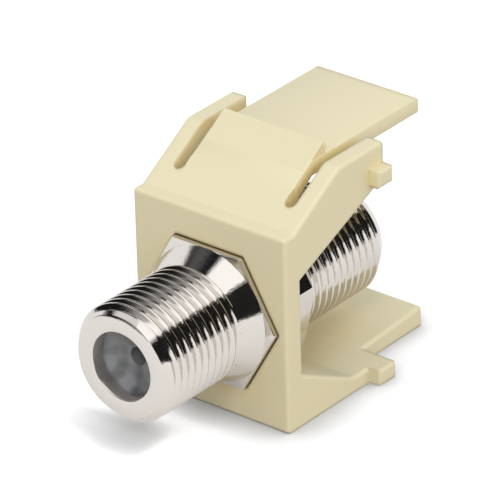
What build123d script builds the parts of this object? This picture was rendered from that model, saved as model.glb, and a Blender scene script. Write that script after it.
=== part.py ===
from build123d import *
from math import cos, radians, sin, tan
import os

# Snap-in wall-plate insert that carries a double-ended F coaxial coupler.
# Frame, in millimetres: the origin is where the coupler's axis crosses the insert's front face,
# +X is to the right seen from the front, +Y runs to the rear and +Z is up.

# Front wall of the insert
face_width = 14.5
face_height = 16.4
wall = 1.8
lip_depth = 1.1
edge_round = 0.25

# Roof that rises to the rear, with the two side rails
roof_slope = 31.0
roof_thickness = 1.1
rail_top = 11.5
rail_width = 1.45
rail_rear = 11.9
rail_front_height = 12.3
rail_underside_slope = 23.0
rail_bend_round = 1.2

# Stop lugs on the outside of the rails
lug_out = 0.95
lug_depth = 1.75
lug_height = 1.35
lug_lift = 0.1
lug_edge_round = 0.2

# Snap latch between the rails
slot_width = 0.98
slot_front = 2.85
latch_thickness = 1.25
latch_top = 11.4
latch_rear = 19.5
latch_corner_round = 0.3
latch_edge_round = 0.15
hinge_distance = 3.3
catch_rear = 8.05
catch_height = 1.12
catch_inset = 0.27
catch_run_in = 1.0

# Lower arm with its ears and finger tongue
arm_height_at_wall = 4.3
arm_thickness = 1.25
arm_fold = 8.0
arm_fold_round = 2.5
arm_rear = 11.9
ear_out = 1.0
ear_depth = 2.0
ear_edge_round = 0.2
tongue_width = 10.0
tongue_rear = 19.5
tongue_rear_thickness = 1.65

# Coupler barrel
thread_diameter = 9.45
thread_pitch_diameter = 8.93
hex_across_flats = 11.1
flange_proud = 0.42
pocket_depth = 0.9
collar_length = 1.75
front_reach = 10.5
rear_reach = 16.0
tip_diameter = 8.2
tip_chamfer_length = 0.6
tail_diameter = 7.8
tail_chamfer_length = 1.4
mouth_diameter = 5.5
mouth_chamfer = 0.1
mouth_depth = 1.1
cavity_diameter = 7.0

# Hexagonal nut behind the wall
nut_thickness = 3.2
nut_turn = 17.0
nut_face_diameter = 11.6
nut_chamfer_angle = 30.0

# Insulators and the contact between them
funnel_diameter = 5.2
funnel_depth = 0.9
conductor_hole_diameter = 1.45
insulator_face = 1.5
contact_diameter = 3.0
contact_bore = 0.9
contact_lead_in = 1.6
contact_socket_depth = 6.0
contact_slit = 0.3
contact_waist_depth = 0.35
contact_waist_length = 3.0

# Clearances between pieces
hinge_clearance = 0.03
pocket_clearance = 0.1
hole_clearance = 0.12
nut_clearance = 0.04
nut_room = 0.35
insulator_clearance = 0.03
contact_clearance = 0.03

# Places worked out from the sizes above
half_width = face_width / 2
face_top = face_height / 2
floor = -face_height / 2
slot_outer = half_width - rail_width
slot_inner = slot_outer - slot_width
roof_rise = tan(radians(roof_slope))
rail_bend = lip_depth + (rail_top - face_top) / roof_rise
rail_front_underside = floor + rail_front_height
rail_rear_underside = rail_front_underside + (rail_rear - wall) * tan(radians(rail_underside_slope))
latch_bend = lip_depth + (latch_top - face_top) / roof_rise
latch_underside = latch_top - latch_thickness
roof_drop = roof_thickness / cos(radians(roof_slope))
latch_inner_bend = lip_depth + (latch_underside - face_top + roof_drop) / roof_rise
roof_underside_at_wall = face_top + (wall - lip_depth) * roof_rise - roof_drop
hex_corner = hex_across_flats / cos(radians(30)) / 2
nut_rear = wall + nut_thickness
cavity_front = -front_reach + mouth_depth
cavity_rear = rear_reach - mouth_depth
cavity_middle = (cavity_front + cavity_rear) / 2
contact_front = cavity_front + funnel_depth + insulator_face
contact_rear = cavity_rear - funnel_depth - insulator_face

# The latch bends about a line across the roof, at half its thickness
hinge_top = (
    lip_depth + hinge_distance * cos(radians(roof_slope)),
    face_top + hinge_distance * sin(radians(roof_slope)),
)
hinge = (
    hinge_top[0] + roof_thickness / 2 * sin(radians(roof_slope)),
    hinge_top[1] - roof_thickness / 2 * cos(radians(roof_slope)),
)
hinge_under = (2 * hinge[0] - hinge_top[0], 2 * hinge[1] - hinge_top[1])


def across(depth):
    """Plane across the coupler's axis at the given depth, seen from the front."""
    return Plane.XZ.offset(-depth)


def edges_across(part, depth, height):
    """Edges that run left to right at the given depth and height."""
    near = 0.01
    found = part.edges().filter_by(Axis.X)
    found = found.filter_by_position(Axis.Y, depth - near, depth + near)
    return found.filter_by_position(Axis.Z, height - near, height + near)


def in_side_planes(part, distance, low, high):
    """Edges above low, up to high, in the two side planes at the given distance from the middle."""
    near = 0.01
    right = part.edges().filter_by_position(Axis.X, distance - near, distance + near)
    left = part.edges().filter_by_position(Axis.X, -distance - near, near - distance)
    return (right + left).filter_by_position(Axis.Z, low, high, inclusive=(False, True))


# Housing, one moulding: front wall, roof root, rails, lower arm, lugs and ears
with BuildPart() as housing:
    # Front wall and the root of the roof in one outline
    with BuildSketch(Plane.YZ):
        with BuildLine():
            Polyline(
                (0, floor),
                (0, face_top),
                (lip_depth, face_top),
                hinge_top,
                hinge_under,
                (wall, roof_underside_at_wall),
                (wall, floor),
                close=True,
            )
        make_face()
    extrude(amount=half_width, both=True)

    # Side rails that rise from the wall
    for side in (-1, 1):
        with BuildSketch(Plane.YZ.offset(side * half_width)):
            with BuildLine():
                Polyline(
                    (0, rail_front_underside),
                    (0, face_top),
                    (lip_depth, face_top),
                    (rail_bend, rail_top),
                    (rail_rear, rail_top),
                    (rail_rear, rail_rear_underside),
                    (wall, rail_front_underside),
                    close=True,
                )
            make_face()
        extrude(amount=-side * rail_width)
    fillet(edges_across(housing, rail_bend, rail_top), rail_bend_round)

    # Lower arm that tapers from the wall to a flat end
    with BuildSketch(Plane.YZ):
        with BuildLine():
            Polyline(
                (0, floor),
                (0, floor + arm_height_at_wall),
                (wall, floor + arm_height_at_wall),
                (arm_fold, floor + arm_thickness),
                (arm_rear, floor + arm_thickness),
                (arm_rear, floor),
                close=True,
            )
        make_face()
    extrude(amount=half_width, both=True)
    fillet(edges_across(housing, arm_fold, floor + arm_thickness), arm_fold_round)

    # Finger tongue, a little thicker at its free end
    with BuildSketch(Plane.YZ):
        with BuildLine():
            Polyline(
                (arm_rear, floor),
                (arm_rear, floor + arm_thickness),
                (tongue_rear, floor + tongue_rear_thickness),
                (tongue_rear, floor),
                close=True,
            )
        make_face()
    extrude(amount=tongue_width / 2, both=True)

    # Softened edges of the sides, the face and the tongue, down to the floor
    softened = in_side_planes(housing, tongue_width / 2, floor, rail_top)
    softened = softened.filter_by_position(Axis.Y, arm_rear, tongue_rear, inclusive=(False, True))
    sides = in_side_planes(housing, half_width, floor, rail_top)
    softened += sides.filter_by_position(Axis.Y, 0, rail_rear, inclusive=(True, False))
    softened += edges_across(housing, 0, face_top) + edges_across(housing, 0, floor)
    softened += edges_across(housing, tongue_rear, floor + tongue_rear_thickness)
    fillet(softened, edge_round)

    # Ears at the arm's end
    with BuildSketch(Plane.XY.offset(floor)):
        with Locations((0, arm_rear - ear_depth / 2)):
            Rectangle(face_width + 2 * ear_out, ear_depth)
    extrude(amount=arm_thickness)
    ears = in_side_planes(housing, half_width + ear_out, floor, floor + arm_thickness)
    fillet(ears, ear_edge_round)

    # Stop lugs on the rails
    lug_bottom = rail_rear_underside + lug_lift
    for side in (-1, 1):
        with BuildSketch(Plane.YZ.offset(side * slot_outer)):
            with Locations((rail_rear - lug_depth / 2, lug_bottom + lug_height / 2)):
                Rectangle(lug_depth, lug_height)
        extrude(amount=side * (rail_width + lug_out))
    lugs = in_side_planes(housing, half_width + lug_out, rail_rear_underside, rail_top)
    fillet(lugs, lug_edge_round)

    # Slots that free the latch, with round front ends
    slot_start = slot_front + slot_width / 2
    slot_end = hinge_under[0] + slot_width
    with BuildSketch(Plane.XY.offset(roof_underside_at_wall)):
        for side in (-1, 1):
            middle = side * (slot_outer + slot_inner) / 2
            with Locations((middle, slot_start)):
                Circle(slot_width / 2)
            with Locations((middle, (slot_start + slot_end) / 2)):
                Rectangle(slot_width, slot_end - slot_start)
    extrude(amount=rail_top - roof_underside_at_wall, mode=Mode.SUBTRACT)

    # Round groove that the latch's root turns in
    with BuildSketch(Plane.YZ):
        with Locations(hinge):
            Circle(roof_thickness / 2 + hinge_clearance)
    extrude(amount=slot_inner, both=True, mode=Mode.SUBTRACT)

    # Hexagonal pocket for the flange and a round hole for the thread
    with BuildSketch(across(0)):
        RegularPolygon(hex_corner + pocket_clearance / cos(radians(30)), 6)
    extrude(amount=-pocket_depth, mode=Mode.SUBTRACT)
    with BuildSketch(across(0)):
        Circle(thread_diameter / 2 + hole_clearance)
    extrude(amount=-wall, mode=Mode.SUBTRACT)

    # Room for the nut above the arm
    with BuildSketch(across(wall)):
        Circle(hex_corner + nut_room)
    extrude(amount=-(nut_thickness + nut_room), mode=Mode.SUBTRACT)

# Snap latch: a tongue with a round root and a wedge catch on its back
with BuildPart() as snap_latch:
    with BuildSketch(Plane.YZ):
        with BuildLine():
            Polyline(
                hinge_top,
                (latch_bend, latch_top),
                (latch_rear, latch_top),
                (latch_rear, latch_underside),
                (latch_inner_bend, latch_underside),
                hinge_under,
                close=True,
            )
        make_face()
        with Locations(hinge):
            Circle(roof_thickness / 2)
    extrude(amount=slot_inner, both=True)
    latch_end = in_side_planes(snap_latch, slot_inner, floor, latch_top)
    latch_end = latch_end.filter_by_position(Axis.Y, latch_bend, latch_rear)
    latch_end += edges_across(snap_latch, latch_rear, latch_top)
    latch_end += edges_across(snap_latch, latch_rear, latch_underside)
    fillet(latch_end, latch_edge_round)

    # Wedge catch, whose ramp carries the roof's slope on
    with BuildSketch(Plane.YZ):
        with BuildLine():
            Polyline(
                (latch_bend - catch_run_in, latch_top - catch_run_in * roof_rise),
                (catch_rear, latch_top + catch_height),
                (catch_rear, latch_underside + latch_thickness / 2),
                (latch_bend, latch_underside + latch_thickness / 2),
                close=True,
            )
        make_face()
    extrude(amount=slot_inner - catch_inset, both=True)
    fillet(edges_across(snap_latch, catch_rear, latch_top), latch_corner_round)
    fillet(edges_across(snap_latch, catch_rear, latch_top + catch_height), latch_edge_round)

# Barrel: turned coupler body with a hexagonal flange and a mouth at each end
with BuildPart() as barrel:
    with BuildSketch(Plane.XY):
        with BuildLine():
            Polyline(
                (mouth_diameter / 2, mouth_chamfer - front_reach),
                (mouth_diameter / 2 + mouth_chamfer, -front_reach),
                (tip_diameter / 2, -front_reach),
                (thread_diameter / 2, -front_reach + tip_chamfer_length),
                (thread_diameter / 2, -flange_proud - collar_length),
                (hex_across_flats / 2, -flange_proud),
                (hex_across_flats / 2, pocket_depth),
                (thread_pitch_diameter / 2, pocket_depth),
                (thread_pitch_diameter / 2, nut_rear),
                (thread_diameter / 2, nut_rear),
                (thread_diameter / 2, rear_reach - tail_chamfer_length),
                (tail_diameter / 2, rear_reach),
                (mouth_diameter / 2 + mouth_chamfer, rear_reach),
                (mouth_diameter / 2, rear_reach - mouth_chamfer),
                (mouth_diameter / 2, cavity_rear),
                (cavity_diameter / 2, cavity_rear),
                (cavity_diameter / 2, cavity_front),
                (mouth_diameter / 2, cavity_front),
                close=True,
            )
        make_face()
    revolve(axis=Axis.Y)
    with BuildSketch(across(-flange_proud)):
        RegularPolygon(hex_corner, 6)
        Circle(cavity_diameter / 2 + insulator_clearance, mode=Mode.SUBTRACT)
    extrude(amount=-(flange_proud + pocket_depth))

# Hexagonal nut, its rear corners turned off
with BuildPart() as hex_nut:
    with BuildSketch(across(wall)):
        RegularPolygon(hex_corner, 6, rotation=nut_turn)
        Circle(thread_pitch_diameter / 2 + nut_clearance, mode=Mode.SUBTRACT)
    extrude(amount=-nut_thickness)
    chamfer_drop = (hex_corner - nut_face_diameter / 2) * tan(radians(nut_chamfer_angle))
    with BuildSketch(Plane.XY):
        with BuildLine():
            Polyline(
                (0, wall),
                (hex_corner, wall),
                (hex_corner, nut_rear - chamfer_drop),
                (nut_face_diameter / 2, nut_rear),
                (0, nut_rear),
                close=True,
            )
        make_face()
    revolve(axis=Axis.Y, mode=Mode.INTERSECT)


def insulator_section(face, step):
    """Corners of the insulator behind the mouth at depth face; step points to the middle."""
    outer = cavity_diameter / 2 - insulator_clearance
    chamber = contact_diameter / 2 + contact_clearance
    hole = conductor_hole_diameter / 2
    funnel_end = face + step * funnel_depth
    chamber_start = funnel_end + step * insulator_face
    return [
        (outer, face),
        (funnel_diameter / 2, face),
        (hole, funnel_end),
        (hole, chamber_start),
        (chamber, chamber_start),
        (chamber, cavity_middle),
        (outer, cavity_middle),
    ]


# Front insulator, with the funnel that leads the centre conductor in
with BuildPart() as front_insulator:
    with BuildSketch(Plane.XY):
        with BuildLine():
            Polyline(*insulator_section(cavity_front, 1), close=True)
        make_face()
    revolve(axis=Axis.Y)

# Rear insulator, facing the other way
with BuildPart() as rear_insulator:
    with BuildSketch(Plane.XY):
        with BuildLine():
            Polyline(*insulator_section(cavity_rear, -1), close=True)
        make_face()
    revolve(axis=Axis.Y)

# Centre contact: a socket with four sprung fingers at each end
with BuildPart() as centre_contact:
    with BuildSketch(across(contact_front)):
        Circle(contact_diameter / 2)
    extrude(amount=contact_front - contact_rear)
    waist_front = cavity_middle - contact_waist_length / 2
    with BuildSketch(across(waist_front)):
        Circle(contact_diameter / 2)
        Circle(contact_diameter / 2 - contact_waist_depth, mode=Mode.SUBTRACT)
    extrude(amount=-contact_waist_length, mode=Mode.SUBTRACT)
    for end, step in ((contact_front, 1), (contact_rear, -1)):
        lead_in_depth = (contact_lead_in - contact_bore) / 2
        with BuildSketch(Plane.XY):
            with BuildLine():
                Polyline(
                    (0, end),
                    (contact_lead_in / 2, end),
                    (contact_bore / 2, end + step * lead_in_depth),
                    (contact_bore / 2, end + step * contact_socket_depth),
                    (0, end + step * contact_socket_depth),
                    close=True,
                )
            make_face()
        revolve(axis=Axis.Y, mode=Mode.SUBTRACT)
        with BuildSketch(across(end)):
            Rectangle(contact_diameter, contact_slit)
            Rectangle(contact_slit, contact_diameter)
        extrude(amount=-step * contact_socket_depth, mode=Mode.SUBTRACT)

housing.part.label = "housing"
snap_latch.part.label = "snap_latch"
barrel.part.label = "barrel"
hex_nut.part.label = "hex_nut"
front_insulator.part.label = "front_insulator"
rear_insulator.part.label = "rear_insulator"
centre_contact.part.label = "centre_contact"

os.makedirs("parts", exist_ok=True)
export_step(housing.part, "parts/housing.step")
export_step(snap_latch.part, "parts/snap_latch.step")
export_step(barrel.part, "parts/barrel.step")
export_step(hex_nut.part, "parts/hex_nut.step")
export_step(front_insulator.part, "parts/front_insulator.step")
export_step(rear_insulator.part, "parts/rear_insulator.step")
export_step(centre_contact.part, "parts/centre_contact.step")
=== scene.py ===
from math import cos, pi, radians, sin, tan

import bmesh
import bpy
from mathutils import Matrix, Vector


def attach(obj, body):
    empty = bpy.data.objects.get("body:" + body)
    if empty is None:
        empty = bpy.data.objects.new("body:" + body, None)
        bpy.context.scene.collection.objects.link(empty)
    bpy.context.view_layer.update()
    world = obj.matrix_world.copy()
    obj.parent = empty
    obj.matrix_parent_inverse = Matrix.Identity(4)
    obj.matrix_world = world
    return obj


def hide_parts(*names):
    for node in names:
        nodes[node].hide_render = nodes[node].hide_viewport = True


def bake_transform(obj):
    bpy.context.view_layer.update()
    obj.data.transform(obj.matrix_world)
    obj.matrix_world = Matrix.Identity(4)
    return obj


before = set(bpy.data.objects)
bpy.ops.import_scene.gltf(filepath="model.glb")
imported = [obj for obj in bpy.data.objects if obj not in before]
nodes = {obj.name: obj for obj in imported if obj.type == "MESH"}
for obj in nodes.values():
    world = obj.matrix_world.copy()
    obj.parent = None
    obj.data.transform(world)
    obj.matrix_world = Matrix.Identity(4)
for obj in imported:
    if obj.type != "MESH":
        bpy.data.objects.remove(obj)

# Looks of the snap-in wall-plate insert with its double-ended F coupler. Lengths are in
# millimetres here and become metres in each mesh. The axis of the coupler is the line x = z = 0.
MM = 0.001
scene = bpy.context.scene
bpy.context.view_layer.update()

# Sizes of the coupler, as in the CAD part
THREAD_MAJOR = 4.725
THREAD_PITCH_RADIUS = 4.465
FRONT, REAR = -10.5, 16.0
TIP_RADIUS, TIP_CHAMFER = 4.1, 0.6
TAIL_RADIUS, TAIL_CHAMFER = 3.9, 1.4
MOUTH_RADIUS, MOUTH_DEPTH = 2.75, 1.1
CAVITY_RADIUS = 3.5
FLANGE_FRONT, FLANGE_REAR = -0.42, 0.9
COLLAR = 1.75
HEX_APOTHEM = 5.55
WALL, NUT_REAR = 1.8, 5.0
NUT_TURN = radians(-17.0)
NUT_CHAMFER_ANGLE = radians(30.0)
NUT_FACE_RADIUS = 5.8
NUT_BORE = THREAD_PITCH_RADIUS + 0.04

# Sizes of the housing and the latch, as in the CAD part. UPRIGHT_ROOF is the roof's thickness
# measured upright, and LATCH_BEND is where the latch's slope ends and its flat rear part starts.
FLOOR = -8.2
FACE_TOP, LIP = 8.2, 1.1
ROOF_SLOPE, ROOF_THICKNESS = radians(31.0), 1.1
UPRIGHT_ROOF = ROOF_THICKNESS / cos(ROOF_SLOPE)
LATCH_TOP, LATCH_THICKNESS = 11.4, 1.25
LATCH_REAR, LATCH_HALF = 19.5, 4.82
LATCH_BEND = LIP + (LATCH_TOP - FACE_TOP) / tan(ROOF_SLOPE)
CATCH_REAR, CATCH_TOP = 8.05, 12.52
CATCH_RUN_IN = 1.0

# Sizes that only the looks have. THREAD_PHASE is the depth of one of the front thread's crests,
# straight above the axis.
PITCH = 25.4 / 32
THREAD_MINOR = 4.25
THREAD_PHASE = -2.35
SOFT_EDGE = 0.4
CATCH_HALF = 4.75

# Samples for the painted glow in the plastic's nooks and for the shading of its edges
SHADING_SAMPLES = 8


def new_material(name):
    material = bpy.data.materials.new(name)
    material.use_nodes = True
    tree = material.node_tree
    return material, tree, tree.nodes["Principled BSDF"]


def node(tree, kind, **inputs):
    made = tree.nodes.new(kind)
    for key, value in inputs.items():
        made.inputs[key.replace("_", " ")].default_value = value
    return made


def place(tree):
    """Where a point lies on its object, in metres."""
    return tree.nodes.new("ShaderNodeTexCoord").outputs["Object"]


def axes(tree, vector):
    """The x, y and z of a vector."""
    made = tree.nodes.new("ShaderNodeSeparateXYZ")
    tree.links.new(vector, made.inputs[0])
    return made.outputs


def maths(tree, operation, a, b):
    """The result of an operation on two values, each a number or a socket."""
    made = tree.nodes.new("ShaderNodeMath")
    made.operation = operation
    for slot, value in enumerate((a, b)):
        if isinstance(value, (int, float)):
            made.inputs[slot].default_value = value
        else:
            tree.links.new(value, made.inputs[slot])
    return made.outputs[0]


def noise(tree, scale, detail):
    made = node(tree, "ShaderNodeTexNoise", Scale=scale, Detail=detail, Roughness=0.55)
    tree.links.new(place(tree), made.inputs["Vector"])
    return made.outputs["Fac"]


def remap(tree, value, low, high, out_low, out_high):
    made = tree.nodes.new("ShaderNodeMapRange")
    tree.links.new(value, made.inputs["Value"])
    made.inputs["From Min"].default_value = low
    made.inputs["From Max"].default_value = high
    made.inputs["To Min"].default_value = out_low
    made.inputs["To Max"].default_value = out_high
    return made.outputs["Result"]


def step(tree, value, low, high):
    """A soft step from 0 at low to 1 at high, where low may also be the larger of the two."""
    made = tree.nodes.new("ShaderNodeMapRange")
    made.interpolation_type = "SMOOTHSTEP"
    tree.links.new(value, made.inputs["Value"])
    made.inputs["From Min"].default_value = low
    made.inputs["From Max"].default_value = high
    return made.outputs["Result"]


def mix_colour(tree, factor, first, second):
    """From the first colour to the second. The first may also be a socket."""
    made = tree.nodes.new("ShaderNodeMix")
    made.data_type = "RGBA"
    made.inputs["B"].default_value = second
    if isinstance(first, tuple):
        made.inputs["A"].default_value = first
    else:
        tree.links.new(first, made.inputs["A"])
    tree.links.new(factor, made.inputs["Factor"])
    return made.outputs["Result"]


def bump(tree, heights, bsdf, last=None):
    """Chains height maps, each (value, distance in metres), into the shader's normal."""
    for value, distance in heights:
        made = node(tree, "ShaderNodeBump", Strength=1.0, Distance=distance)
        tree.links.new(value, made.inputs["Height"])
        if last is not None:
            tree.links.new(last, made.inputs["Normal"])
        last = made.outputs["Normal"]
    tree.links.new(last, bsdf.inputs["Normal"])


def plastic_colour_with_painted_glow(tree, openness):
    """Pale, with a golden glow painted into the nooks for the light that comes through thin walls.

    Upright faces stay pale near the foot, where it is the floor that shades them.
    """
    # the painted glow: a colour that stands in for light coming through thin walls into the nooks
    painted_glow = (0.80, 0.66, 0.335, 1)
    pale = (0.70, 0.646, 0.445, 1)
    foot_full, foot_end = (FLOOR + 1) * MM, (FLOOR + 5) * MM
    height = axes(tree, place(tree))["Z"]
    facing_up = axes(tree, tree.nodes.new("ShaderNodeNewGeometry").outputs["Normal"])["Z"]
    low_down = remap(tree, height, foot_full, foot_end, 1, 0)
    upright = remap(tree, facing_up, 0.2, 0.8, 1, 0)
    foot = maths(tree, "MULTIPLY", low_down, upright)
    in_the_open = remap(tree, openness, 0.25, 0.85, 0, 1)
    return mix_colour(tree, maths(tree, "MAXIMUM", in_the_open, foot), painted_glow, pale)


def softened_edges(tree, openness):
    """A normal that rounds edges in the open, on objects with a pass index of 1."""
    made = node(tree, "ShaderNodeBevel")
    made.samples = SHADING_SAMPLES
    index = tree.nodes.new("ShaderNodeObjectInfo").outputs["Object Index"]
    full = remap(tree, index, 0, 1, 0, SOFT_EDGE * MM)
    in_the_open = remap(tree, openness, 0.3, 0.5, 0, 1)
    tree.links.new(maths(tree, "MULTIPLY", full, in_the_open), made.inputs["Radius"])
    return made.outputs["Normal"]


def ivory_plastic():
    """Matt moulded plastic with a fine grain and a slight unevenness."""
    nook_reach = 4.5 * MM
    grain, unevenness = 0.004 * MM, 0.02 * MM
    material, tree, bsdf = new_material("ivory_plastic")
    # this occlusion decides where the base colour gets its painted golden glow
    nook = node(tree, "ShaderNodeAmbientOcclusion", Distance=nook_reach)
    nook.samples = SHADING_SAMPLES
    openness = nook.outputs["AO"]
    tree.links.new(plastic_colour_with_painted_glow(tree, openness), bsdf.inputs["Base Color"])
    bsdf.inputs["Roughness"].default_value = 0.42
    bsdf.inputs["Specular IOR Level"].default_value = 0.4
    heights = [(noise(tree, 9000, 3), grain), (noise(tree, 450, 2), unevenness)]
    bump(tree, heights, bsdf, softened_edges(tree, openness))
    return material


def nickel_plate():
    """Bright plating, duller inside the mouths, where it is thin."""
    dull_end, bright_start = (MOUTH_RADIUS + 0.02) * MM, (MOUTH_RADIUS + 0.08) * MM
    dullness = 0.28
    grain, scratches, waves = 0.003 * MM, 0.005 * MM, 0.012 * MM
    material, tree, bsdf = new_material("nickel_plate")
    bsdf.inputs["Base Color"].default_value = (0.70, 0.665, 0.63, 1)
    bsdf.inputs["Metallic"].default_value = 1.0
    across = tree.nodes.new("ShaderNodeVectorMath")
    across.operation = "MULTIPLY"
    across.inputs[1].default_value = (1, 0, 1)
    tree.links.new(place(tree), across.inputs[0])
    radius = tree.nodes.new("ShaderNodeVectorMath")
    radius.operation = "LENGTH"
    tree.links.new(across.outputs["Vector"], radius.inputs[0])
    inside = remap(tree, radius.outputs["Value"], dull_end, bright_start, dullness, 0.0)
    uneven = remap(tree, noise(tree, 5000, 4), 0.35, 0.7, 0.05, 0.12)
    tree.links.new(maths(tree, "ADD", uneven, inside), bsdf.inputs["Roughness"])
    heights = [(noise(tree, 9000, 2), grain), (noise(tree, 3500, 3), scratches)]
    heights.append((noise(tree, 700, 2), waves))
    bump(tree, heights, bsdf)
    return material


def insulator_plastic():
    """Milky plastic, its base colour lighter in soft patches that are painted highlights."""
    dark, light = (0.09, 0.094, 0.1, 1), (0.23, 0.24, 0.255, 1)
    material, tree, bsdf = new_material("insulator_plastic")
    # soft lighter patches in the base colour: painted highlights for the plastic's soft reflections
    painted_highlights = remap(tree, noise(tree, 420, 2), 0.38, 0.62, 0, 1)
    tree.links.new(mix_colour(tree, painted_highlights, dark, light), bsdf.inputs["Base Color"])
    bsdf.inputs["Roughness"].default_value = 0.2
    bsdf.inputs["Subsurface Weight"].default_value = 0.1
    bsdf.inputs["Subsurface Scale"].default_value = 0.5 * MM
    bump(tree, [(noise(tree, 2500, 3), 0.01 * MM)], bsdf)
    return material


def contact_bronze():
    material, tree, bsdf = new_material("contact_bronze")
    bsdf.inputs["Base Color"].default_value = (0.62, 0.45, 0.24, 1)
    bsdf.inputs["Metallic"].default_value = 1.0
    fine = noise(tree, 6000, 3)
    tree.links.new(remap(tree, fine, 0.3, 0.7, 0.22, 0.4), bsdf.inputs["Roughness"])
    bump(tree, [(fine, 0.004 * MM)], bsdf)
    return material


ivory = ivory_plastic()
nickel = nickel_plate()
insulator = insulator_plastic()
bronze = contact_bronze()


def mesh_object(name, points, faces, material, smooth_below):
    """A mesh, shaded smooth across edges whose faces meet at less than that many degrees."""
    same_place, no_length = 0.0005 * MM, 0.0002 * MM
    mesh = bpy.data.meshes.new(name)
    mesh.from_pydata([Vector(p) * MM for p in points], [], faces)
    work = bmesh.new()
    work.from_mesh(mesh)
    bmesh.ops.remove_doubles(work, verts=work.verts, dist=same_place)
    bmesh.ops.dissolve_degenerate(work, dist=no_length, edges=work.edges)
    bmesh.ops.recalc_face_normals(work, faces=work.faces)
    for face in work.faces:
        face.smooth = True
    for edge in work.edges:
        if len(edge.link_faces) == 2 and edge.calc_face_angle(0) > radians(smooth_below):
            edge.smooth = False
    work.to_mesh(mesh)
    work.free()
    mesh.materials.append(material)
    made = bpy.data.objects.new(name, mesh)
    scene.collection.objects.link(made)
    return made


def on_ring(radius, angle, y):
    """Point at that radius and depth; the angle runs from the top to the right."""
    return (radius * sin(angle), y, radius * cos(angle))


def band(count, first, second):
    """Faces between two rings of count points, whose points start at those numbers."""
    found = []
    for j in range(count):
        k = (j + 1) % count
        found.append((first + j, first + k, second + k, second + j))
    return found


class Stack:
    """Rings of equal counts of points, joined one to the next."""

    def __init__(self, angles):
        self.angles = angles
        self.points = []
        self.faces = []

    def add(self, radius, y):
        """Adds a ring. radius and y are numbers, or functions of the angle."""
        count = len(self.angles)
        if self.points:
            self.faces += band(count, len(self.points) - count, len(self.points))
        for angle in self.angles:
            r = radius(angle) if callable(radius) else radius
            depth = y(angle) if callable(y) else y
            self.points.append(on_ring(r, angle, depth))

    def close(self):
        count = len(self.angles)
        self.faces += band(count, len(self.points) - count, 0)


AROUND = 128
EVEN = [2 * pi * j / AROUND for j in range(AROUND)]

# Half a thread, from the crest's middle to the root's middle: distance along, share of depth
CREST_TO_ROOT = [(0, 0), (0.05, 0.01), (0.085, 0.06), (0.12, 0.17), (0.31, 0.92), (0.35, 1)]


def thread_rows():
    """Rows of one pitch: distance from the crest's middle and share of the depth."""
    rising = [(PITCH - d, share) for d, share in reversed(CREST_TO_ROOT[1:])]
    return CREST_TO_ROOT + [(PITCH / 2, 1.0)] + rising


def add_thread(points, faces, start, end, phase, radius_at):
    """A right-hand thread from start to end, its rows along the helix and cut off square.

    radius_at(y, radius) gives the final radius where the plain thread has that radius.
    """
    base = len(points)
    rows = thread_rows()
    per_pitch = len(rows)
    first = int((start - phase) // PITCH) - 2
    last = int((end - phase) // PITCH) + 2
    table = []
    for turn in range(first, last + 1):
        for distance, share in rows:
            table.append((phase + turn * PITCH + distance, share))
    for y0, share in table:
        for j, angle in enumerate(EVEN):
            y = y0 + PITCH * j / AROUND
            y = min(max(y, start), end)
            plain = THREAD_MAJOR - share * (THREAD_MAJOR - THREAD_MINOR)
            points.append(on_ring(radius_at(y, plain), angle, y))
    count = len(table)
    for i in range(count - 1):
        for j in range(AROUND):
            if j < AROUND - 1:
                a, b = (i, j + 1), (i + 1, j + 1)
            elif i + 1 + per_pitch < count:
                a, b = (i + per_pitch, 0), (i + 1 + per_pitch, 0)
            else:
                continue
            corners = ((i, j), a, b, (i + 1, j))
            faces.append(tuple(base + row * AROUND + column for row, column in corners))


def tip_radius(y):
    """Radius of the chamfer at the front end, at depth y."""
    return TIP_RADIUS + (y - FRONT) * (THREAD_MAJOR - TIP_RADIUS) / TIP_CHAMFER


def tail_radius(y):
    """Radius of the chamfer at the rear end, at depth y."""
    return TAIL_RADIUS + (REAR - y) * (THREAD_MAJOR - TAIL_RADIUS) / TAIL_CHAMFER


def collar_radius(y):
    """Radius, at depth y, of the cone that starts at the thread's root and widens to the flange."""
    share = (FLANGE_FRONT - y) / COLLAR
    return HEX_APOTHEM - (HEX_APOTHEM - THREAD_MINOR) * share


def front_thread_radius(y, plain):
    if y >= FLANGE_FRONT - COLLAR:
        return collar_radius(y)
    return min(plain, tip_radius(y))


def rear_thread_radius(y, plain):
    near = 0.001
    if y <= NUT_REAR + near:
        return THREAD_PITCH_RADIUS
    if y >= REAR - near:
        return TAIL_RADIUS
    return min(plain, tail_radius(y))


def mouth(end, inwards):
    """A mouth's rounded rim and its wall. inwards is 1 at the front and -1 at the rear."""
    rim = ((0.1, 0.0), (0.03, 0.03), (0.0, 0.1), (0.0, MOUTH_DEPTH))
    return [(MOUTH_RADIUS + out, end + inwards * deep) for out, deep in rim]


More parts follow.
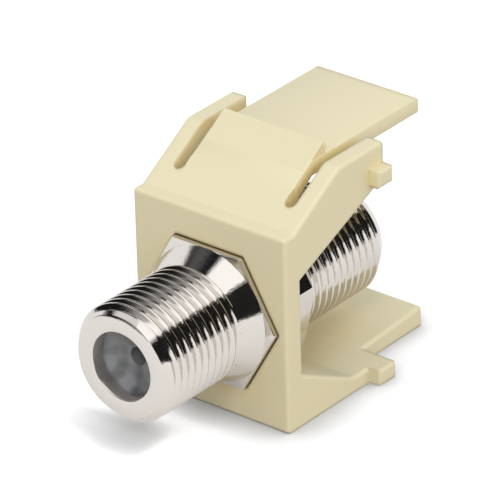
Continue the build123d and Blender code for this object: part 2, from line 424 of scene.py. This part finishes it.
def barrel():
    """The turned body: both threads, the collar, the mouths and the cavity between them."""
    thread_start = FRONT + 0.05
    rear_phase = THREAD_PHASE + 13 * PITCH
    points, faces = [], []
    add_thread(points, faces, thread_start, FLANGE_FRONT, THREAD_PHASE, front_thread_radius)
    add_thread(points, faces, NUT_REAR, REAR, rear_phase, rear_thread_radius)
    outside = [(tip_radius(thread_start), thread_start), (TIP_RADIUS, FRONT)]
    cavity = [(CAVITY_RADIUS, FRONT + MOUTH_DEPTH), (CAVITY_RADIUS, REAR - MOUTH_DEPTH)]
    rear_mouth = list(reversed(mouth(REAR, -1)))
    bore = outside + mouth(FRONT, 1) + cavity + rear_mouth + [(TAIL_RADIUS, REAR)]
    # from the collar to the rear thread, inside the flange, the wall and the nut
    waist = [
        (HEX_APOTHEM, FLANGE_FRONT),
        (THREAD_PITCH_RADIUS, FLANGE_FRONT),
        (THREAD_PITCH_RADIUS, NUT_REAR),
    ]
    for outline in (bore, waist):
        turned = Stack(EVEN)
        for radius, y in outline:
            turned.add(radius, y)
        base = len(points)
        points += turned.points
        faces += [tuple(base + corner for corner in face) for face in turned.faces]
    made = mesh_object("threaded_barrel", points, faces, nickel, 50.0)
    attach(made, "insert")
    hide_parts("barrel")


def hexagon_angles(turn=0.0):
    """Angles round a hexagon: close on each side of a corner, and spread along the flats."""
    near, steps = 0.012, 12
    flat = radians(60) - 4 * near
    found = []
    for side in range(6):
        corner = turn + radians(30) + side * radians(60)
        found += [corner + shift * near for shift in (-2, -1, 0, 1, 2)]
        found += [corner + 2 * near + flat * i / steps for i in range(1, steps)]
    return found


def hexagon_radius(apothem, turn=0.0, soften=0.05):
    """Radius of the hexagon at an angle, its corners rounded off by soften."""

    def radius(angle):
        from_flat = (angle - turn + radians(30)) % radians(60) - radians(30)
        plain = apothem / cos(from_flat)
        corner = apothem / cos(radians(30)) - soften
        return min(plain, corner)

    return radius


def flange():
    """The hexagon in the housing's pocket, its front edge broken."""
    broken, shoulder, sunk = 0.05, 0.015, 0.01
    outer = hexagon_radius(HEX_APOTHEM)
    stack = Stack(hexagon_angles())
    stack.add(THREAD_PITCH_RADIUS, FLANGE_FRONT + sunk)
    stack.add(hexagon_radius(HEX_APOTHEM - broken), FLANGE_FRONT)
    stack.add(hexagon_radius(HEX_APOTHEM - shoulder), FLANGE_FRONT + shoulder)
    stack.add(outer, FLANGE_FRONT + broken)
    stack.add(outer, FLANGE_REAR)
    stack.add(THREAD_PITCH_RADIUS, FLANGE_REAR)
    stack.close()
    made = mesh_object("hexagonal_flange", stack.points, stack.faces, nickel, 30.0)
    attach(made, "insert")
    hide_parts("barrel")


def nut():
    """The hexagonal nut behind the wall, with its rear corners turned off and a countersink."""
    soften, broken = 0.04, 0.02
    sink_width, sink_depth = 0.2, 0.35
    outer = hexagon_radius(HEX_APOTHEM, NUT_TURN, soften)

    def turned_off(angle):
        drop = max(0.0, outer(angle) - NUT_FACE_RADIUS) * tan(NUT_CHAMFER_ANGLE)
        return NUT_REAR - broken - drop

    stack = Stack(hexagon_angles(NUT_TURN))
    stack.add(NUT_BORE, WALL)
    stack.add(outer, WALL)
    stack.add(outer, turned_off)
    stack.add(lambda angle: min(outer(angle) - broken, NUT_FACE_RADIUS), NUT_REAR)
    stack.add(THREAD_MAJOR + sink_width, NUT_REAR)
    stack.add(NUT_BORE, NUT_REAR - sink_depth)
    stack.close()
    made = mesh_object("threaded_hex_nut", stack.points, stack.faces, nickel, 20.0)
    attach(made, "insert")
    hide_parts("hex_nut")


def loft(rings):
    """Points and faces of a body through rings of equal counts of points, closed at its ends."""
    count = len(rings[0])
    last = count * (len(rings) - 1)
    points = [point for ring in rings for point in ring]
    faces = []
    for i in range(len(rings) - 1):
        faces += band(count, i * count, (i + 1) * count)
    faces.append(tuple(range(count)))
    faces.append(tuple(last + j for j in reversed(range(count))))
    return points, faces


def roof_height(y, drop=0.0, flat=LATCH_TOP):
    """Height of the roof at depth y, or of its underside, where drop is its upright thickness."""
    return min(FACE_TOP + (y - LIP) * tan(ROOF_SLOPE) - drop, flat)


def spaced(start, end, count):
    """Evenly spaced values from start on, without the end."""
    return [start + (end - start) * i / count for i in range(count)]


def strip_depths(start, bend):
    """Depths of the strip's rings, from start over its bend to its rear end."""
    near = 0.1
    on_slope, at_bend, on_flat = 26, 2, 24
    depths = spaced(start, bend - near, on_slope) + spaced(bend - near, bend + near, at_bend)
    depths += spaced(bend + near, LATCH_REAR - near, on_flat)
    return depths + [LATCH_REAR - near, LATCH_REAR]


def latch_strip():
    """The sprung tongue, running out of the roof without a seam.

    It starts sunk in the roof and comes out slightly proud of it. Its root is thicker.
    """
    start, sunk, proud, blend_in = 2.7, 0.05, 0.004, 0.6
    half = LATCH_HALF + proud
    edge, edge_start, sharp_share = 0.12, 1.2, 0.05
    swell, swell_peak = 0.33, 0.2
    end_round = 0.08
    under_flat = LATCH_TOP - LATCH_THICKNESS
    under_bend = LIP + (under_flat - FACE_TOP + UPRIGHT_ROOF) / tan(ROOF_SLOPE)
    tops = strip_depths(start, LATCH_BEND)
    unders = strip_depths(start + ROOF_THICKNESS * sin(ROOF_SLOPE), under_bend)
    # across the strip: distance from its middle, and share of the rounding of its edges
    offsets = [(0.0, 0.0), (half - edge, 0.0), (half - 0.3 * edge, 0.3), (half, 1.0)]
    columns = [(-x, share) for x, share in reversed(offsets[1:])] + offsets
    rings = []
    for top, under in zip(tops, unders):
        rise = (sunk + proud) * min(1.0, (top - start) / blend_in) - sunk
        end_drop = end_round if top == LATCH_REAR else 0.0
        high = roof_height(top) + rise - end_drop
        along = min(1.0, (top - start) / (LATCH_BEND - start))
        thicker = swell * min(along / swell_peak, (1.0 - along) / (1.0 - swell_peak))
        low = roof_height(under, UPRIGHT_ROOF, under_flat) - rise + end_drop - thicker
        through = Vector((0, top - under, high - low)).normalized()
        open_share = min(1.0, max(0.0, top - start - edge_start))
        rounding = edge * (sharp_share + (1.0 - sharp_share) * open_share)
        ring = []
        for x, share in columns:
            inset = share * rounding
            ring.append((x, top - through.y * inset, high - through.z * inset))
        for x, share in reversed(columns):
            inset = share * rounding
            ring.append((x, under + through.y * inset, low + through.z * inset))
        rings.append(ring)
    made = mesh_object("latch_strip", *loft(rings), ivory, 40.0)
    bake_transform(made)
    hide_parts("snap_latch")


def catch():
    """The wedge on the latch's back, its ramp carrying on the roof's slope."""
    sunk_rear, sunk_front, soft = 0.5, 0.6, 0.08
    ramp_start = LATCH_BEND - CATCH_RUN_IN
    # the rounded top edge and the hollow foot: how far behind the catch's rear each point lies,
    # and how far above the catch's top or the latch's top
    top_edge = [(-0.2, -0.11), (-0.11, -0.09), (-0.03, -0.14), (0.0, -0.23)]
    foot = [(0.0, 0.3), (0.04, 0.12), (0.13, 0.03), (0.3, -0.05)]
    outline = [(ramp_start, roof_height(ramp_start))]
    outline += [(CATCH_REAR + back, CATCH_TOP + up) for back, up in top_edge]
    outline += [(CATCH_REAR + back, LATCH_TOP + up) for back, up in foot]
    outline += [(outline[-1][0], LATCH_TOP - sunk_rear), (LATCH_BEND, LATCH_TOP - sunk_front)]
    rings = []
    for x, inset in (
        (-CATCH_HALF, soft),
        (soft - CATCH_HALF, 0),
        (CATCH_HALF - soft, 0),
        (CATCH_HALF, soft),
    ):
        rings.append([(x, y, z - inset) for y, z in outline])
    made = mesh_object("latch_catch", *loft(rings), ivory, 30.0)
    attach(made, "latch")
    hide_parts("snap_latch")


barrel()
flange()
nut()
latch_strip()
catch()

for name, material, slot in (
    ("housing", ivory, "ivory_plastic"),
    ("front_insulator", insulator, "insulator_plastic"),
    ("rear_insulator", insulator, "insulator_plastic"),
    ("centre_contact", bronze, "contact_bronze"),
):
    nodes[name].data.materials.clear()
    nodes[name].data.materials.append(material)
nodes["housing"].pass_index = 1


def panel(tree, brightness, *bounds):
    """A soft-edged panel that shiny surfaces see.

    Each bound is a value of the direction, where the panel is dark and where it is lit.
    """
    shape = None
    for value, dark, lit in bounds:
        inside = step(tree, value, dark, lit)
        shape = inside if shape is None else maths(tree, "MULTIPLY", shape, inside)
    return maths(tree, "MULTIPLY", shape, brightness)


def studio(tree, x, y, z):
    """Brightness of the studio in a direction, as shiny surfaces see it."""
    gloom = 0.01
    left = maths(tree, "ADD", x, maths(tree, "MULTIPLY", z, 0.13))
    right = maths(tree, "SUBTRACT", maths(tree, "MULTIPLY", z, 0.77), x)
    # above
    softbox = panel(tree, 1.35, (left, -0.08, 0.04), (right, -0.04, 0.04), (y, 0.6, 0.4))
    # on the left
    low_card = panel(
        tree, 1.05, (x, -0.68, -0.86), (z, 0.66, 0.5), (y, 0.55, 0.35), (y, -0.32, -0.22)
    )
    # behind, seen only in the crests
    backdrop = panel(
        tree, 0.8, (y, 0.5, 0.65), (x, 0.1, -0.3), (z, 0.85, 0.6), (y, 0.85, 0.75)
    )
    # beside the softbox, in front and on the left
    surround = panel(tree, 0.55, (left, -0.7, 0.0), (right, -0.04, 0.04), (y, -0.6, -0.85))
    # in front of the softbox, seen in the rounded front edges
    front_fill = panel(
        tree,
        0.9,
        (y, -0.34, -0.42),
        (y, -0.76, -0.70),
        (z, 0.5, 0.6),
        (z, 0.88, 0.78),
        (x, 0.05, -0.05),
    )
    # very dim, seen above on the collar
    collar_fill = panel(
        tree, 0.12, (y, -0.35, -0.25), (y, 0.05, -0.05), (z, 0.5, 0.85), (x, -0.3, -0.45)
    )
    total = maths(tree, "ADD", softbox, low_card)
    total = maths(tree, "ADD", total, backdrop)
    for dimmer in (surround, front_fill, collar_fill):
        total = maths(tree, "MAXIMUM", total, dimmer)
    return maths(tree, "ADD", total, gloom)


def tent(tree, x, y, z):
    """Brightness of the even tent in a direction, brighter overhead and on the right."""
    base, from_above, from_the_right, lean = 0.40, 0.71, 0.85, 0.3
    overhead = maths(tree, "SUBTRACT", z, maths(tree, "MULTIPLY", y, lean))
    total = base
    for value, share in ((overhead, from_above), (x, from_the_right)):
        part = maths(tree, "MULTIPLY", maths(tree, "MAXIMUM", value, 0.0), share)
        total = maths(tree, "ADD", total, part)
    return total


def world_light():
    """White for the camera, an even dim tent for matt surfaces, and panels for shiny ones."""
    warm, white = (1.0, 0.94, 0.87, 1), (1.0, 1.0, 1.0, 1)
    world = bpy.data.worlds.new("studio")
    world.use_nodes = True
    scene.world = world
    tree = world.node_tree
    tree.nodes.clear()
    out = tree.nodes.new("ShaderNodeOutputWorld")
    direction = tree.nodes.new("ShaderNodeTexCoord").outputs["Generated"]
    x, y, z = axes(tree, direction)
    paths = tree.nodes.new("ShaderNodeLightPath").outputs
    # the tent is warmer low down
    tint = mix_colour(tree, step(tree, z, 0.0, 0.8), warm, white)

    def background(strength=None, colour=None):
        made = tree.nodes.new("ShaderNodeBackground")
        made.inputs["Color"].default_value = white
        made.inputs["Strength"].default_value = 1.0
        if colour is not None:
            tree.links.new(colour, made.inputs["Color"])
        if strength is not None:
            tree.links.new(strength, made.inputs["Strength"])
        return made.outputs[0]

    surface = background(tent(tree, x, y, z), tint)
    for ray, seen in (
        ("Is Glossy Ray", background(studio(tree, x, y, z))),
        ("Is Camera Ray", background()),
    ):
        mixed = tree.nodes.new("ShaderNodeMixShader")
        tree.links.new(paths[ray], mixed.inputs[0])
        tree.links.new(surface, mixed.inputs[1])
        tree.links.new(seen, mixed.inputs[2])
        surface = mixed.outputs[0]
    tree.links.new(surface, out.inputs["Surface"])


def contact_shade(tree):
    """How open the floor is, as an occlusion that reaches further beside the front thread."""
    reach, extra = 3.6 * MM, 4 * MM
    where = axes(tree, place(tree))
    more = remap(tree, where["X"], -3 * MM, 0.5 * MM, extra, 0)
    for front_end, rear_end, at_front, at_rear in ((-6, -3.5, 1, 0), (-10.5, -8, 0, 1)):
        window = remap(tree, where["Y"], front_end * MM, rear_end * MM, at_front, at_rear)
        more = maths(tree, "MULTIPLY", more, window)
    contact = tree.nodes.new("ShaderNodeAmbientOcclusion")
    tree.links.new(maths(tree, "ADD", more, reach), contact.inputs["Distance"])
    return maths(tree, "POWER", contact.outputs["AO"], 2.0)


def floor():
    """A white floor for the camera, with short contact shades, and a duller one for matt light."""
    size, gap, glow = 1.2, 0.01, 0.72
    for_matt = (0.40, 0.376, 0.327, 1)
    for_shiny = (0.9, 0.9, 0.9, 1)
    for_camera = (0.40, 0.405, 0.415, 1)
    mesh = bpy.data.meshes.new("floor")
    corners = [(-size, -size, 0), (size, -size, 0), (size, size, 0), (-size, size, 0)]
    mesh.from_pydata(corners, [], [(0, 1, 2, 3)])
    made = bpy.data.objects.new("floor", mesh)
    made.location = (0, 0, (FLOOR - gap) * MM)
    scene.collection.objects.link(made)
    material, tree, bsdf = new_material("floor_white")
    bsdf.inputs["Roughness"].default_value = 1.0
    bsdf.inputs["Specular IOR Level"].default_value = 0.0
    bsdf.inputs["Emission Color"].default_value = (1, 1, 1, 1)
    paths = tree.nodes.new("ShaderNodeLightPath").outputs
    colour = mix_colour(tree, paths["Is Glossy Ray"], for_matt, for_shiny)
    colour = mix_colour(tree, paths["Is Camera Ray"], colour, for_camera)
    tree.links.new(colour, bsdf.inputs["Base Color"])
    lit = maths(tree, "MULTIPLY", paths["Is Camera Ray"], glow)
    lit = maths(tree, "MULTIPLY", lit, contact_shade(tree))
    tree.links.new(lit, bsdf.inputs["Emission Strength"])
    mesh.materials.append(material)


def area_light(name, position, target, size, power):
    data = bpy.data.lights.new(name, "AREA")
    data.shape = "RECTANGLE"
    data.size, data.size_y = size
    data.energy = power
    made = bpy.data.objects.new(name, data)
    made.location = position
    made.rotation_mode = "QUATERNION"
    made.rotation_quaternion = (Vector(target) - Vector(position)).to_track_quat("-Z", "Y")
    made.visible_glossy = False
    made.visible_camera = False
    scene.collection.objects.link(made)


def camera():
    """The camera that was fitted to the photograph."""
    data = bpy.data.cameras.new("camera")
    data.sensor_width = 36.0
    data.lens = 377.56
    data.clip_start, data.clip_end = 0.01, 10.0
    made = bpy.data.objects.new("camera", data)
    scene.collection.objects.link(made)
    right = Vector((0.780455, 0.624767, -0.023556))
    up = Vector((-0.278292, 0.380886, 0.881748))
    back = Vector((0.55986, -0.68161, 0.471132))
    position = Vector((0.22082, -0.264035, 0.188947))
    turn = Matrix((right, up, back)).transposed().to_4x4()
    made.matrix_world = Matrix.Translation(position) @ turn
    scene.camera = made


world_light()
floor()
area_light(
    "key",
    position=(0.183, -0.351, 0.305),
    target=(0, 0.004, 0),
    size=(0.12, 0.12),
    power=0.5,
)
camera()
scene.view_settings.view_transform = "Standard"
